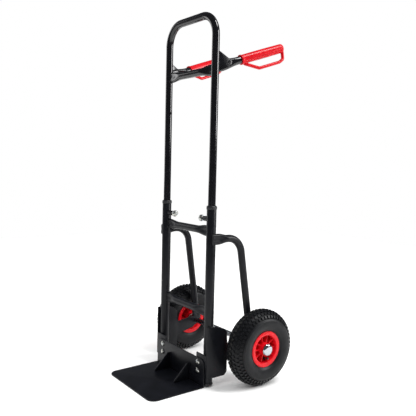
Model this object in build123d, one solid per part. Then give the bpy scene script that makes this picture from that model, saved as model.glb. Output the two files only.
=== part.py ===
from build123d import *
import os
from math import atan2, cos, degrees, hypot, radians, sin

# Hand truck with a telescoping upper frame, rear handles and air-filled wheels.
# Millimetres. +Z is up and the floor is z = 0. The load stands on the toe plate
# on the -Y side, and the handles, braces and wheels are on the +Y side.
# The origin is on the floor midway between the two uprights.

# Driving dimensions -------------------------------------------------------
UPRIGHT_X = 136.0  # half of the distance between the uprights' centre lines
OUTER_R = 16.0  # lower, fixed tubes
INNER_R = 12.5  # upper, sliding tubes, and every cross tube
WALL = 1.5  # tube wall
RUN_GAP = 0.06  # radial clearance of every running fit

OUTER_BOTTOM = 12.0
OUTER_TOP = 596.0
COLLAR_R = 17.4  # guide ring on the mouth of a lower tube
COLLAR_HEIGHT = 12.0
SLEEVE_DEPTH = 20.0  # how far the ring's sleeve and the foot plug reach into the tube
TOP_BAR_Z = 1228.0  # centre line of the bar that closes the sliding frame
TOP_BEND_R = 72.0
INNER_BOTTOM = 390.0
RETRACT = 360.0  # travel from extended to retracted
LOCK_Z = 563.0  # height of the index plungers
LOCK_HOLE_R = 4.6
HOUSING_END = UPRIGHT_X - OUTER_R - 24.0  # inner end of a plunger's barrel
PIN_R = 4.0
PIN_TRAVEL = 7.0
PIN_TIP = UPRIGHT_X - INNER_R - 0.5  # while the plunger is parked

CROSSBAR_Z = 1048.0  # cross tube of the sliding frame
LOW_BARS_Z = (523.0, 250.0)  # cross tubes of the fixed frame
CROSSBAR_ROUND_X = 62.0  # a cross tube is round up to here
CROSSBAR_FLAT_X = 112.0  # and fully flattened from here
FLAT_HALF_HEIGHT = 18.5  # a flattened tube end: half its height
FLAT_HALF_THICK = 4.2  # and half its thickness

HANDLE_Z = 1054.7  # where a handle's centre line meets the upright's
HANDLE_SPLAY = 7.0  # degrees outwards
HANDLE_TILT = 19.4  # degrees upwards
GRIP_START = 100.0  # distances along the handle's centre line
GRIP_END = 279.0
GRIP_R = 15.2
GUARD_R = 5.2
GUARD_LEAN = 10.0  # degrees that the knuckle guard leans outwards
GUARD_BENDS = [8.0, 14.0, 14.0, 9.0, 7.0]  # bend radii of the knuckle guard, from the front
GUSSET_X = 6.2  # inner face of the gusset, out from the handle's middle plane
GUSSET_THICK = 3.2
RIVET_YZ = (50.0, 1076.0)

AXLE_Y = 155.0
WHEEL_R = 130.0
WHEEL_X = 219.0
AXLE_R = 10.0
TYRE_HALF_WIDTH = 42.3
RIM_R = 60.8
RIM_HALF_WIDTH = 33.7
HUB_R = 21.0
HUB_HALF_WIDTH = 37.0
BEARING_R = 16.0
BEARING_LENGTH = 14.0
RIBS = 10
BEAD_R = 53.0  # where the tyre sits on the rim
TYRE_WALL = 7.0
VALVE_TURN = 18.0  # degrees from straight below the axle

PLATE_THICK = 4.0
PLATE_X = UPRIGHT_X + OUTER_R + 0.1  # inner face of an axle plate

BRACE_TOP_Z = 499.0
BRACE_CORNER_Y = 106.0
BRACE_BEND_R = 58.0
BRACE_TOP_X = 156.4
BRACE_FOOT_Y = 165.0  # the stay passes a little behind the axle's centre
EYE_HALF = 4.6  # half thickness of the brace's eye on the axle
BRACE_FOOT_X = PLATE_X + PLATE_THICK + EYE_HALF
FLANGE_Y = -(OUTER_R + 0.1)  # back face of an axle plate's front flange
TOE_HALF_WIDTH = 145.0
TOE_DEPTH = 205.0
TOE_FLANGE_HEIGHT = 95.0
TOE_BOLT_X = 110.0
TOE_BOLTS_Z = (50.0, 80.0)
BOLT_R = 4.0

os.makedirs("parts", exist_ok=True)


# Helpers --------------------------------------------------------------------
def save(name, shape):
    """Write one node."""
    export_step(shape, f"parts/{name}.step")


def save_pair(name, right):
    """Write a right-hand part and its mirror image."""
    save(f"{name}_right", right)
    save(f"{name}_left", mirror(right, about=Plane.YZ))


def joined(shapes):
    """Put several shapes in one."""
    total = shapes[0]
    for shape in shapes[1:]:
        total = total + shape
    return total


def rod_x(radius, x_from, x_to, y=0.0, z=0.0):
    """Cylinder along X."""
    return Pos((x_from + x_to) / 2, y, z) * Rot(0, 90, 0) * Cylinder(radius, abs(x_to - x_from))


def rod_y(radius, y_from, y_to, x, z):
    """Cylinder along Y."""
    return Pos(x, (y_from + y_to) / 2, z) * Rot(90, 0, 0) * Cylinder(radius, abs(y_to - y_from))


def rod_z(radius, z_from, z_to, x=UPRIGHT_X, y=0.0):
    """Cylinder along Z."""
    return Pos(x, y, (z_from + z_to) / 2) * Cylinder(radius, z_to - z_from)


def block(x_from, x_to, y_from, y_to, z_from, z_to):
    """Box between two corners."""
    centre = Pos((x_from + x_to) / 2, (y_from + y_to) / 2, (z_from + z_to) / 2)
    return centre * Box(x_to - x_from, y_to - y_from, z_to - z_from)


def plate_yz(outline, x_from, thick):
    """Flat plate across X from an outline of (y, z) points."""
    face = make_face(Polyline(*[(x_from, y, z) for y, z in outline], close=True))
    return extrude(face, amount=thick, dir=(1, 0, 0))


def both_uprights(radius, z_from, z_to):
    """The pair of cylinders that a cross tube's ends are coped to."""
    return rod_z(radius, z_from, z_to) + rod_z(radius, z_from, z_to, x=-UPRIGHT_X)


def crushed(plane, round_at, flat_at, cut):
    """Stretch of tube that goes from round to flat along a plane's normal."""
    ring = plane.offset(round_at) * Circle(INNER_R - cut)
    oval = plane.offset(flat_at) * Ellipse(FLAT_HALF_THICK - cut, FLAT_HALF_HEIGHT - cut)
    return loft([ring, oval] if round_at < flat_at else [oval, ring])


def flat_end(plane, start, stop, cut):
    """Stretch of fully flattened tube along a plane's normal."""
    oval = Ellipse(FLAT_HALF_THICK - cut, FLAT_HALF_HEIGHT - cut)
    return extrude(plane.offset(start) * oval, amount=stop - start)


# Fixed frame ----------------------------------------------------------------
def outer_tube():
    """Lower upright with the hole that the index plunger goes through."""
    tube = rod_z(OUTER_R, OUTER_BOTTOM, OUTER_TOP) - rod_z(OUTER_R - WALL, OUTER_BOTTOM, OUTER_TOP)
    return tube - rod_x(LOCK_HOLE_R, UPRIGHT_X - OUTER_R - 3, UPRIGHT_X - OUTER_R + 5, z=LOCK_Z)


def collar():
    """Guide bush in the mouth of the outer tube, with a ring that stands on its rim."""
    ring = rod_z(COLLAR_R, OUTER_TOP, OUTER_TOP + COLLAR_HEIGHT)
    ring = chamfer(ring.edges().sort_by(Axis.Z)[-1], 2.0)
    sleeve = rod_z(OUTER_R - WALL, OUTER_TOP - SLEEVE_DEPTH, OUTER_TOP)
    bore = rod_z(INNER_R + RUN_GAP, OUTER_TOP - SLEEVE_DEPTH - 1, OUTER_TOP + COLLAR_HEIGHT + 1)
    return ring + sleeve - bore


def foot_plug():
    """Cap in the open foot of an outer tube."""
    insert = rod_z(OUTER_R - WALL, OUTER_BOTTOM, OUTER_BOTTOM + SLEEVE_DEPTH / 2)
    cap = rod_z(COLLAR_R, OUTER_BOTTOM / 2, OUTER_BOTTOM)
    return chamfer(cap.edges().sort_by(Axis.Z)[0], 1.5) + insert


def cross_tube(height, cope_r):
    """Tube from upright to upright, flattened and flared where it meets them."""
    shapes = []
    for cut in (0.0, WALL):
        shape = rod_x(INNER_R - cut, -CROSSBAR_ROUND_X, CROSSBAR_ROUND_X, z=height)
        for side in (1, -1):
            facing = Plane(origin=(0, 0, height), x_dir=(0, side, 0), z_dir=(side, 0, 0))
            shape += crushed(facing, CROSSBAR_ROUND_X, CROSSBAR_FLAT_X, cut)
            shape += flat_end(facing, CROSSBAR_FLAT_X, UPRIGHT_X, cut)
        shapes.append(shape)
    return shapes[0] - shapes[1] - both_uprights(cope_r, height - 40, height + 40)


def brace():
    """Bent stay from the upright's outer side down to the axle, flattened at both ends."""
    drop = hypot(BRACE_FOOT_Y - BRACE_CORNER_Y, BRACE_TOP_Z - WHEEL_R)
    down = (0, (BRACE_FOOT_Y - BRACE_CORNER_Y) / drop, (WHEEL_R - BRACE_TOP_Z) / drop)
    top_flat = 20.0
    top_round = 54.0
    foot_flat = drop - 36.0
    foot_round = drop - 70.0
    corner = (0, BRACE_CORNER_Y, BRACE_TOP_Z)
    top = Plane(origin=(0, 0, BRACE_TOP_Z), x_dir=(1, 0, 0), z_dir=(0, 1, 0))
    foot = Plane(origin=corner, x_dir=(1, 0, 0), z_dir=down)
    bend_end = foot.offset(foot_round).origin
    path = FilletPolyline(top.offset(top_round).origin, corner, bend_end, radius=BRACE_BEND_R)
    shapes = []
    for cut in (0.0, WALL):
        shape = sweep(top.offset(top_round) * Circle(INNER_R - cut), path=path)
        shape += crushed(top, top_round, top_flat, cut)
        shape += crushed(foot, foot_round, foot_flat, cut)
        shapes.append(shape)
    stay = shapes[0] - shapes[1] + flat_end(top, -12, top_flat, 0) + flat_end(foot, foot_flat, drop, 0)
    lean = degrees(atan2(BRACE_FOOT_X - BRACE_TOP_X, BRACE_TOP_Z - WHEEL_R))
    stay = Pos(BRACE_TOP_X, 0, BRACE_TOP_Z) * Rot(0, -lean, 0) * Pos(0, 0, -BRACE_TOP_Z) * stay
    eye = rod_x(FLAT_HALF_HEIGHT, BRACE_FOOT_X - EYE_HALF, BRACE_FOOT_X + EYE_HALF, AXLE_Y, WHEEL_R)
    bore = rod_x(AXLE_R, BRACE_FOOT_X - 12, BRACE_FOOT_X + 12, AXLE_Y, WHEEL_R)
    return stay + eye - bore - rod_z(OUTER_R, OUTER_BOTTOM, OUTER_TOP)


def axle_plate():
    """Side plate with an eye for the axle and a front flange for the toe plate."""
    front = FLANGE_Y - PLATE_THICK
    outline = [
        (front, 31), (55, 31), (66, 42), (66, 86), (AXLE_Y, WHEEL_R - 22),
        (AXLE_Y, WHEEL_R + 22), (66, 136), (63, 180), (54, 192), (24, 204), (front, 207),
    ]
    web = plate_yz(outline, PLATE_X, PLATE_THICK)
    web += rod_x(22, PLATE_X, PLATE_X + PLATE_THICK, AXLE_Y, WHEEL_R)
    flange = block(TOE_BOLT_X - 14, PLATE_X, front, FLANGE_Y, 33, 110)
    shape = web + flange - rod_x(AXLE_R, PLATE_X - 1, PLATE_X + PLATE_THICK + 1, AXLE_Y, WHEEL_R)
    for z in TOE_BOLTS_Z:
        shape -= rod_y(BOLT_R, front - 1, FLANGE_Y + 1, TOE_BOLT_X, z)
    return shape


def axle():
    """Bar through both wheels."""
    half = WHEEL_X + HUB_HALF_WIDTH + 6
    return rod_x(AXLE_R, -half, half, AXLE_Y, WHEEL_R)


def axle_spacers():
    """Tubes on the axle that hold the wheels off the braces."""
    near = BRACE_FOOT_X + EYE_HALF
    far = WHEEL_X - HUB_HALF_WIDTH - 0.4
    rings = []
    for side in (1, -1):
        ring = rod_x(14.5, side * near, side * far, AXLE_Y, WHEEL_R)
        rings.append(ring - rod_x(AXLE_R, side * (near - 1), side * (far + 1), AXLE_Y, WHEEL_R))
    return joined(rings)


def axle_washers():
    """Thin washers outside the hubs."""
    near = WHEEL_X + HUB_HALF_WIDTH + 0.4
    rings = []
    for side in (1, -1):
        ring = rod_x(17.0, side * near, side * (near + 1.6), AXLE_Y, WHEEL_R)
        rings.append(ring - rod_x(AXLE_R, side * (near - 1), side * (near + 3), AXLE_Y, WHEEL_R))
    return joined(rings)


def axle_cap():
    """Domed push-on cap that keeps a wheel on the axle."""
    near = WHEEL_X + HUB_HALF_WIDTH + 2.0
    body = rod_x(20.0, near, near + 9.5, AXLE_Y, WHEEL_R)
    body = fillet(body.edges().sort_by(Axis.X)[-1], 7.0)
    return body - rod_x(AXLE_R, near - 1, WHEEL_X + HUB_HALF_WIDTH + 6, AXLE_Y, WHEEL_R)


def toe_plate():
    """Folded plate that the load stands on."""
    back = FLANGE_Y - PLATE_THICK
    floor_plate = block(-TOE_HALF_WIDTH, TOE_HALF_WIDTH, back - TOE_DEPTH, back, 0, PLATE_THICK)
    front_edges = floor_plate.edges().filter_by(Axis.Z).sort_by(Axis.Y)[:2]
    floor_plate = fillet(front_edges, 28)
    upright = block(
        -TOE_HALF_WIDTH, TOE_HALF_WIDTH, back - PLATE_THICK, back, 0, TOE_FLANGE_HEIGHT)
    upright = fillet(upright.edges().filter_by(Axis.Y).sort_by(Axis.Z)[-2:], 18)
    shape = floor_plate + upright
    for x in (TOE_BOLT_X, -TOE_BOLT_X):
        for z in TOE_BOLTS_Z:
            shape -= rod_y(BOLT_R, back - PLATE_THICK - 1, back + 1, x, z)
    return shape


def toe_ribs():
    """Corner ribs between the toe plate's two leaves."""
    back = FLANGE_Y - 2 * PLATE_THICK
    outline = [(back, PLATE_THICK), (back, 62), (back - 10, 62), (back - 62, PLATE_THICK + 6),
               (back - 62, PLATE_THICK)]
    return joined([plate_yz(outline, x - 2, 4) for x in (62, -62)])


def toe_bolts():
    """Round-head bolts that hold the toe plate to the axle plates."""
    head_y = FLANGE_Y - 2 * PLATE_THICK
    bolts = []
    for x in (TOE_BOLT_X, -TOE_BOLT_X):
        for z in TOE_BOLTS_Z:
            head = fillet(rod_y(9.0, head_y - 4.5, head_y, x, z).edges().sort_by(Axis.Y)[0], 3.5)
            bolts.append(head + rod_y(BOLT_R, head_y, FLANGE_Y + 10, x, z))
    return joined(bolts)


def toe_nuts():
    """Hexagon nuts behind the axle plates' flanges."""
    nuts = []
    for x in (TOE_BOLT_X, -TOE_BOLT_X):
        for z in TOE_BOLTS_Z:
            hexagon = Plane(origin=(x, FLANGE_Y, z), z_dir=(0, 1, 0)) * RegularPolygon(7.5, 6)
            nuts.append(extrude(hexagon, amount=6.5) - rod_y(BOLT_R, FLANGE_Y - 1, FLANGE_Y + 8, x, z))
    return joined(nuts)


# Index plungers: the right-hand one, on the inner side of the right upright ----
def lock_housing():
    """Barrel on the outer tube that guides the plunger and holds its spring."""
    barrel = rod_x(8.5, HOUSING_END, UPRIGHT_X - 4, z=LOCK_Z)
    chamber = rod_x(6.5, HOUSING_END + 2.5, UPRIGHT_X - OUTER_R - 4, z=LOCK_Z)
    guide = rod_x(PIN_R + RUN_GAP, UPRIGHT_X - OUTER_R - 5, UPRIGHT_X, z=LOCK_Z)
    stem_hole = rod_x(3.0 + RUN_GAP, HOUSING_END - 1, HOUSING_END + 3, z=LOCK_Z)
    return barrel - chamber - guide - stem_hole - rod_z(OUTER_R, LOCK_Z - 30, LOCK_Z + 30)


def lock_pin():
    """Plunger with its collar and pull knob, in the parked position."""
    flange_x = PIN_TIP - 14.0
    knob_x = HOUSING_END - PIN_TRAVEL - 1.0
    tip = chamfer(rod_x(PIN_R, flange_x, PIN_TIP, z=LOCK_Z).edges().sort_by(Axis.X)[-1], 1.0)
    flange = rod_x(6.2, flange_x - 2.0, flange_x, z=LOCK_Z)
    stem = rod_x(3.0, knob_x - 10, flange_x, z=LOCK_Z)
    knob = rod_x(11.0, knob_x - 14, knob_x, z=LOCK_Z)
    knob = fillet(knob.edges().sort_by(Axis.X)[0], 4.0)
    return tip + flange + stem + knob


def lock_spring():
    """Coil spring round the stem, pressed short while the plunger is parked."""
    wire = 0.6
    coil_r = 4.6
    start = HOUSING_END + 2.6 + wire
    stop = PIN_TIP - 16.0 - 0.3 - wire
    turns = 5
    helix = Helix(pitch=(stop - start) / turns, height=stop - start, radius=coil_r)
    section = Plane(origin=helix @ 0, z_dir=helix % 0) * Circle(wire)
    spring = sweep(section, path=helix, is_frenet=True)
    return Pos(start, 0, LOCK_Z) * Rot(0, 90, 0) * spring


# Sliding frame ----------------------------------------------------------------
def upper_frame():
    """U of bent tube with the plunger holes for both heights."""
    ends = [
        (-UPRIGHT_X, 0, INNER_BOTTOM), (-UPRIGHT_X, 0, TOP_BAR_Z),
        (UPRIGHT_X, 0, TOP_BAR_Z), (UPRIGHT_X, 0, INNER_BOTTOM),
    ]
    path = FilletPolyline(*ends, radius=TOP_BEND_R)
    start = Plane(origin=ends[0], z_dir=(0, 0, 1))
    tube = sweep(start * Circle(INNER_R), path=path) - sweep(start * Circle(INNER_R - WALL), path=path)
    for z in (LOCK_Z, LOCK_Z + RETRACT):
        tube -= rod_x(LOCK_HOLE_R, UPRIGHT_X - 14, UPRIGHT_X - 6, z=z)
        tube -= rod_x(LOCK_HOLE_R, -UPRIGHT_X + 6, -UPRIGHT_X + 14, z=z)
    return tube


def slide_bush():
    """Plug in the foot of the sliding tube whose ring guides it in the outer tube."""
    plug = rod_z(INNER_R - WALL, INNER_BOTTOM, INNER_BOTTOM + 18)
    ring = rod_z(OUTER_R - WALL - RUN_GAP, INNER_BOTTOM - 6, INNER_BOTTOM)
    return ring + plug - rod_z(7.0, INNER_BOTTOM - 7, INNER_BOTTOM + 19)


def handle_plane():
    """Plane whose normal runs along the right handle, x outwards and y downwards."""
    splay = radians(HANDLE_SPLAY)
    tilt = radians(HANDLE_TILT)
    along = (sin(splay) * cos(tilt), cos(splay) * cos(tilt), sin(tilt))
    outwards = (cos(splay), -sin(splay), 0)
    return Plane(origin=(UPRIGHT_X, 0, HANDLE_Z), x_dir=outwards, z_dir=along)


def handle_tube():
    """Handle behind the upright, flattened and flared at the front."""
    plane = handle_plane()
    flat_at = 24.0
    round_at = 92.0
    end_at = GRIP_END - 16
    shapes = []
    for cut in (0.0, WALL):
        shape = extrude(plane.offset(round_at) * Circle(INNER_R - cut), amount=end_at - round_at)
        shape += crushed(plane, round_at, flat_at, cut)
        shapes.append(shape + flat_end(plane, 4, flat_at, cut))
    return shapes[0] - shapes[1] - rod_z(INNER_R, HANDLE_Z - 60, HANDLE_Z + 60)


def gusset(tube):
    """Triangular plate on the outer side of the handle's flattened end."""
    outline = [(8, 1042), (40, 1056), (57, 1070), (57, 1080), (51, 1084), (18, 1102), (8, 1107)]
    plate = plate_yz(outline, GUSSET_X, GUSSET_THICK)
    plate = Pos(UPRIGHT_X, 0, 0) * Rot(0, 0, -HANDLE_SPLAY) * plate
    plate = plate - tube - gusset_rivet() - rod_z(INNER_R, HANDLE_Z - 80, HANDLE_Z + 80)
    return plate.solids().sort_by(SortBy.VOLUME)[-1]


def gusset_rivet():
    """Domed rivet through a gusset's rear corner and the flattened tube."""
    outside = GUSSET_X + GUSSET_THICK
    head = fillet(rod_x(5.5, outside, outside + 3.2, *RIVET_YZ).edges().sort_by(Axis.X)[-1], 2.4)
    shank = rod_x(3.0, 1.0, outside, *RIVET_YZ)
    return Pos(UPRIGHT_X, 0, 0) * Rot(0, 0, -HANDLE_SPLAY) * (shank + head)


def guard_outline():
    """Corner points of a knuckle guard: distance along the handle and distance below it."""
    return [(108, 10), (114, 17), (162, 43), (249, 43), (267, 37), (275, 12), (272, 4)]


def handle_grip():
    """Moulded grip with a closed end and a knuckle guard in one piece."""
    plane = handle_plane()
    body = extrude(plane.offset(GRIP_START) * Circle(GRIP_R), amount=GRIP_END - GRIP_START)
    body = fillet(body.edges().group_by(Axis.Y)[-1], 7.0)
    flange = extrude(plane.offset(GRIP_START) * Circle(GRIP_R + 1.6), amount=5)
    lean = radians(GUARD_LEAN)
    points = []
    for along, below in guard_outline():
        local = Vector(below * sin(lean), below * cos(lean), along)
        points.append(plane.from_local_coords(local))
    path = FilletPolyline(*points, radius=GUARD_BENDS)
    section = Plane(origin=path @ 0, z_dir=path % 0) * Circle(GUARD_R)
    bore = extrude(plane.offset(GRIP_START - 1) * Circle(INNER_R), amount=GRIP_END - 16 - GRIP_START + 1)
    return body + flange + sweep(section, path=path) - bore


# Wheels: the right-hand one ---------------------------------------------------
def turned(outline_face):
    """Revolve a face drawn as (x, radius) in the XZ plane about the X axis, at the wheel."""
    return Pos(WHEEL_X, AXLE_Y, WHEEL_R) * revolve(outline_face, Axis.X, 360)


def section_circle(radius):
    """Tyre section circle, drawn at its distance from the axle."""
    centre = (0, 0, WHEEL_R - TYRE_HALF_WIDTH)
    return Plane(origin=centre, x_dir=(1, 0, 0), z_dir=(0, -1, 0)) * Circle(radius)


def section_rect(x_from, x_to, r_from, r_to):
    """Rectangle in the wheel's section."""
    centre = ((x_from + x_to) / 2, 0, (r_from + r_to) / 2)
    return Plane(origin=centre, x_dir=(1, 0, 0), z_dir=(0, -1, 0)) * Rectangle(x_to - x_from, r_to - r_from)


def tyre():
    """Tyre casing, open towards the rim."""
    ring = section_circle(TYRE_HALF_WIDTH) - section_circle(TYRE_HALF_WIDTH - TYRE_WALL)
    return turned(ring - section_rect(-60, 60, 30, BEAD_R))


def inner_tube():
    """Air tube inside the tyre."""
    outer = TYRE_HALF_WIDTH - TYRE_WALL - 0.4
    ring = section_circle(outer) - section_rect(-60, 60, 30, BEAD_R + 0.5)
    core = section_circle(outer - 2.2) - section_rect(-60, 60, 30, BEAD_R + 2.7)
    return turned(ring) - turned(core)


def rim():
    """Moulded rim: barrel with flat lips, web, hub and ribs on both sides."""
    channel = section_circle(TYRE_HALF_WIDTH + 0.05) - section_rect(-60, 60, 30, BEAD_R)
    barrel = section_rect(-RIM_HALF_WIDTH, RIM_HALF_WIDTH, 47, RIM_R) - channel
    web = section_rect(-4, 4, HUB_R - 3, 48)
    hub = section_rect(-HUB_HALF_WIDTH, HUB_HALF_WIDTH, BEARING_R, HUB_R)
    solid = turned(barrel + web + hub)
    ribs = []
    for index in range(RIBS):
        rib = block(-26, 26, -1.6, 1.6, HUB_R - 1, 48)
        ribs.append(Rot(360 * (index + 0.5) / RIBS, 0, 0) * rib)
    solid += Pos(WHEEL_X, AXLE_Y, WHEEL_R) * joined(ribs)
    return solid - valve()


def valve():
    """Valve stem with its cap."""
    bend = Pos(0, 0, -37.0) * Sphere(4.4)
    riser = Pos(0, 0, -(BEAD_R + 36.0) / 2) * Cylinder(4.4, BEAD_R - 37.0)
    outward = Pos(7, 0, -37.0) * Rot(0, 90, 0) * Cylinder(3.6, 14)
    cap = Pos(15, 0, -37.0) * Rot(0, 90, 0) * Cylinder(4.4, 8)
    return Pos(WHEEL_X + 14, AXLE_Y, WHEEL_R) * Rot(VALVE_TURN, 0, 0) * (riser + bend + outward + cap)


def hub_bearings():
    """Pair of sleeve bearings pressed in the hub."""
    rings = []
    for side in (1, -1):
        near = WHEEL_X + side * (HUB_HALF_WIDTH - BEARING_LENGTH)
        far = WHEEL_X + side * HUB_HALF_WIDTH
        ring = rod_x(BEARING_R, near, far, AXLE_Y, WHEEL_R)
        rings.append(ring - rod_x(AXLE_R + RUN_GAP, near - side, far + side, AXLE_Y, WHEEL_R))
    return joined(rings)


# Write every node ---------------------------------------------------------------
save_pair("outer_tube", outer_tube())
save_pair("guide_collar", collar())
save("foot_plugs", foot_plug() + mirror(foot_plug(), about=Plane.YZ))
save("lower_crossbar_top", cross_tube(LOW_BARS_Z[0], OUTER_R))
save("lower_crossbar_bottom", cross_tube(LOW_BARS_Z[1], OUTER_R))
save_pair("brace", brace())
save_pair("axle_plate", axle_plate())
save("axle", axle())
save("axle_spacers", axle_spacers())
save("axle_washers", axle_washers())
save_pair("axle_cap", axle_cap())
save("toe_plate", toe_plate())
save("toe_plate_ribs", toe_ribs())
save("toe_plate_bolts", toe_bolts())
save("toe_plate_nuts", toe_nuts())
save_pair("lock_housing", lock_housing())
save_pair("lock_pin", lock_pin())
save_pair("lock_spring", lock_spring())
save("upper_frame", upper_frame())
save("upper_crossbar", cross_tube(CROSSBAR_Z, INNER_R))
save_pair("slide_bush", slide_bush())
right_handle = handle_tube() - gusset_rivet()
save_pair("handle_tube", right_handle)
save_pair("gusset", gusset(right_handle))
save("gusset_rivets", gusset_rivet() + mirror(gusset_rivet(), about=Plane.YZ))
save_pair("handle_grip", handle_grip())
save_pair("tyre", tyre())
save_pair("inner_tube", inner_tube())
save_pair("rim", rim())
save_pair("valve", valve())
save_pair("hub_bearings", hub_bearings())
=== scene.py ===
import math

import bmesh
import bpy
from mathutils import Matrix, Vector


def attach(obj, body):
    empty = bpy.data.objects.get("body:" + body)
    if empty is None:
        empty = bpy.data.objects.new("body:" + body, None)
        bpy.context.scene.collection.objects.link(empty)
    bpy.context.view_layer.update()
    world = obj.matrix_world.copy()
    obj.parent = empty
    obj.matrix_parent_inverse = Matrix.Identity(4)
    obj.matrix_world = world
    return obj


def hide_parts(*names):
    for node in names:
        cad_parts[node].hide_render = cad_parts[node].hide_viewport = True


# Hand truck with a telescoping upper frame, red grips with knuckle guards and air-filled wheels.
# Shapes are drawn in millimetres in the CAD model's frame and written to the meshes in metres:
# Z is up, the floor is z = 0, the load side is -Y and the handles and wheels are at +Y.
# Paired pieces are drawn once for the right-hand side (+X) and mirrored.

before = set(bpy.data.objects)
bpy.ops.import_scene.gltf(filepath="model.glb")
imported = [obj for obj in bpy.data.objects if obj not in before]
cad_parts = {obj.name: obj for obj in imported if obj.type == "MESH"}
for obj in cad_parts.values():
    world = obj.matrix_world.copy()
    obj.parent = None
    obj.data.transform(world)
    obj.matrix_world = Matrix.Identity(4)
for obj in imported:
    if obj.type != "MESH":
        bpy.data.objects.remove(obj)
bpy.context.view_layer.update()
MM = 0.001

# Driving dimensions, as in the CAD model ------------------------------------
UPRIGHT_X = 136.0
OUTER_R = 16.0
INNER_R = 12.5
WALL = 1.5
OUTER_BOTTOM = 12.0
OUTER_TOP = 596.0
COLLAR_R = 17.4  # of the guide rings and of the foot caps
COLLAR_HEIGHT = 12.0
SLEEVE_DEPTH = 20.0  # how far a guide ring's sleeve reaches into its tube
FOOT_BOTTOM = 6.0
FOOT_PLUG_TOP = 22.0
PLUG_R = 14.5
INNER_BOTTOM = 390.0
BUSH_R = 14.44  # of the nylon plugs in the sliding tubes' feet
BUSH_BORE_R = 7.0
BUSH_HEAD = 6.0
BUSH_PLUG = 18.0
TOP_BAR_Z = 1228.0
TOP_BEND_R = 72.0
RETRACT = 360.0
LOCK_Z = 563.0
LOCK_HOLE_R = 4.6
LOCK_HOLE_DEPTH = 8.0
CROSSBAR_Z = 1048.0
CROSSBAR_ROUND_X = 58.0  # the cross tubes are round up to here
CROSSBAR_FLAT = 12.0  # length of their flat ends
CROSSBAR_SINK = 1.0  # how far the ends reach into the uprights' walls
LOW_BARS_Z = (523.0, 250.0)

HANDLE_Z = 1054.7
HANDLE_SPLAY = math.radians(7.0)
HANDLE_TILT = math.radians(19.4)
HANDLE_ROUND_AT = 88.0  # distance from the upright's line at which a handle tube is round
HANDLE_EASE = 62.0
GRIP_START = 100.0
GRIP_END = 279.0
GRIP_R = 15.2
GRIP_COLLAR_R = 16.8
GRIP_SWELL = 0.5
GRIP_NOSE = 7.0
GUARD_R = 5.4
GUARD_BENDS = (8, 14, 14, 9, 7)
GUARD_LEAN = math.radians(10.0)
# The guard's line: distance along the handle and distance below it
GUARD_LINE = ((108, 10), (114, 17), (162, 43), (249, 43), (267, 37), (275, 12), (272, 4))
GUSSET_X = 6.2
GUSSET_THICK = 3.2
RIVET_Y = 50.0
RIVET_Z = 1076.0

AXLE_Y = 155.0
AXLE_R = 10.0
WHEEL_R = 130.0
WHEEL_X = 219.0
TYRE_HALF_WIDTH = 42.3
TYRE_CENTRE_R = WHEEL_R - TYRE_HALF_WIDTH  # radius at which the tyre's section is centred
RIM_R = 60.8
RIM_HALF_WIDTH = 33.7
DRUM_R = 47.0  # bore of the rim's drum
BEAD_R = 53.0
HUB_R = 21.0
HUB_HALF_WIDTH = 37.0
BEARING_R = 16.0
BEARING_LENGTH = 14.0
WEB_HALF = 4.0
RIB_HALF = 26.0
RIB_ROOT = 3.6  # thickness at the web
RIB_EDGE = 2.4  # thickness at the faces
RIBS = 10
VALVE_ROOT_R = 53.0  # distances of a valve's foot and bend from the axle's line
VALVE_BEND_R = 37.0
VALVE_X = 14.0  # from the wheel's middle plane
VALVE_TURN = math.radians(18)

PLATE_THICK = 4.0
PLATE_X = UPRIGHT_X + OUTER_R + 0.1
BRACE_TOP_Z = 499.0
BRACE_CORNER_Y = 106.0
BRACE_BEND_R = 58.0
BRACE_TOP_X = 156.4
BRACE_FOOT_Y = 165.0
STAY_EASE = 34.0  # length over which a stay goes from flat to round
STAY_TOP_ROUND_AT = 58.0
STAY_FOOT_FLAT_AT = 70.0  # distance from the foot at which the crushing starts
STAY_FOOT_THINNING = 0.28
EYE_HALF = 4.6
BRACE_FOOT_X = PLATE_X + PLATE_THICK + EYE_HALF
FLANGE_Y = -(OUTER_R + 0.1)
TOE_HALF_WIDTH = 145.0
TOE_DEPTH = 205.0
TOE_FLANGE_HEIGHT = 95.0
TOE_BOLT_X = 110.0
TOE_BOLTS_Z = (50.0, 80.0)
TOE_CORNER_R = 28.0
TOE_WALL_CORNER_R = 18.0
TOE_RIB_X = 60.0
TOE_RIB_REACH = 62.0
PLATE_FLANGE_X = TOE_BOLT_X - 14.0
PLATE_FLANGE_Z = (33.0, 110.0)
BOLT_R = 4.0
BOLT_HEAD_R = 9.0
NUT_R = 7.5  # to its corners
NUT_THICK = 6.5
SPACER_R = 14.5
WASHER_R = 17.0
WASHER_THICK = 1.6
HUB_GAP = 0.4  # between a hub and what is next to it on the axle
CAP_R = 20.0
CAP_HEIGHT = 9.5

# Index plungers
HOUSING_END = UPRIGHT_X - OUTER_R - 24.0
HOUSING_R = 8.5
SPRING_BORE_R = 6.5
PIN_R = 4.0
PIN_STEM_R = 3.0
PIN_FLANGE_R = 6.2
PIN_TRAVEL = 7.0
PIN_TIP = UPRIGHT_X - INNER_R - 0.5
KNOB_R = 11.0
KNOB_LENGTH = 14.0
FIT = 0.06  # clearance of sliding fits

# Crushed tube ends: half height, half thickness at the dished middle and at the two lobes
FLAT_HALF_HEIGHT = 18.5
FLAT_MIDDLE = 3.4
FLAT_LOBE = 6.2

# Tread
TREAD_DEPTH = 3.2
TREAD_PITCHES = 52
TYRE_WALL = 7.0
SHOULDER = 62.0  # degrees from the crown, round the section, at which the tread ends
WALL_RINGS = ((76.0, 1.6, 0.6), (116.0, 3.0, 0.7))  # degrees from the crown, width in degrees, height
ROUND_STEPS = 64  # points round a tube


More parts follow.
